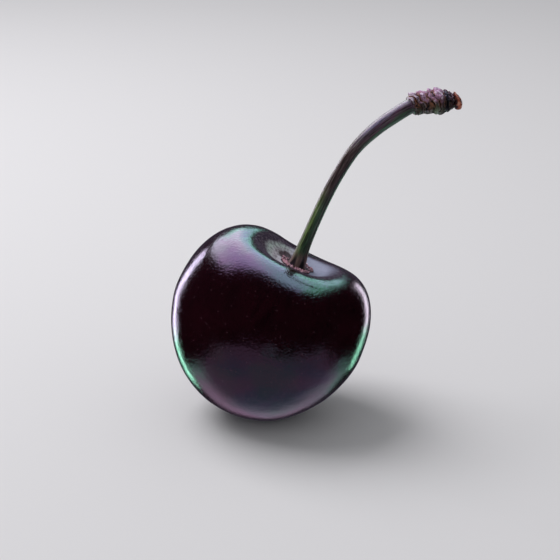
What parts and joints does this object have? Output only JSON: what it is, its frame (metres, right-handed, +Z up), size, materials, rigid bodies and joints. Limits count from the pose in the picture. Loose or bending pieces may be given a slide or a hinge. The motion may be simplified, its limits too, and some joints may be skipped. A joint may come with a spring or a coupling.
{
  "type": "cherry",
  "caption": "Whole dark sweet cherry with its curved stem, resting on a small flat spot and leaning to one side.",
  "frame": {"origin": "middle of the small flat spot that the fruit rests on", "axes": "+Z up from the resting surface, +X towards the side that the fruit leans to and the stem ends over, +Y away from the fruit's front"},
  "size_m": [0.0377, 0.0248, 0.0439],
  "materials": {
    "fruit_skin": "glossy, taut, near-black burgundy skin with a faint lilac and mint bloom",
    "stem_bark": "smooth fresh green stalk with fine lengthwise fibres, browner in the middle, wrinkled purple-brown at its end",
    "receptacle_tissue": "dusty pink, ragged and matt",
    "dry_scale": "dry, rust orange, matt"
  },
  "bodies": {
    "root": {"fruit": "fruit_skin", "stem": "stem_bark", "receptacle_ring": "receptacle_tissue", "end_scale": "dry_scale"}
  },
  "joints": []
}
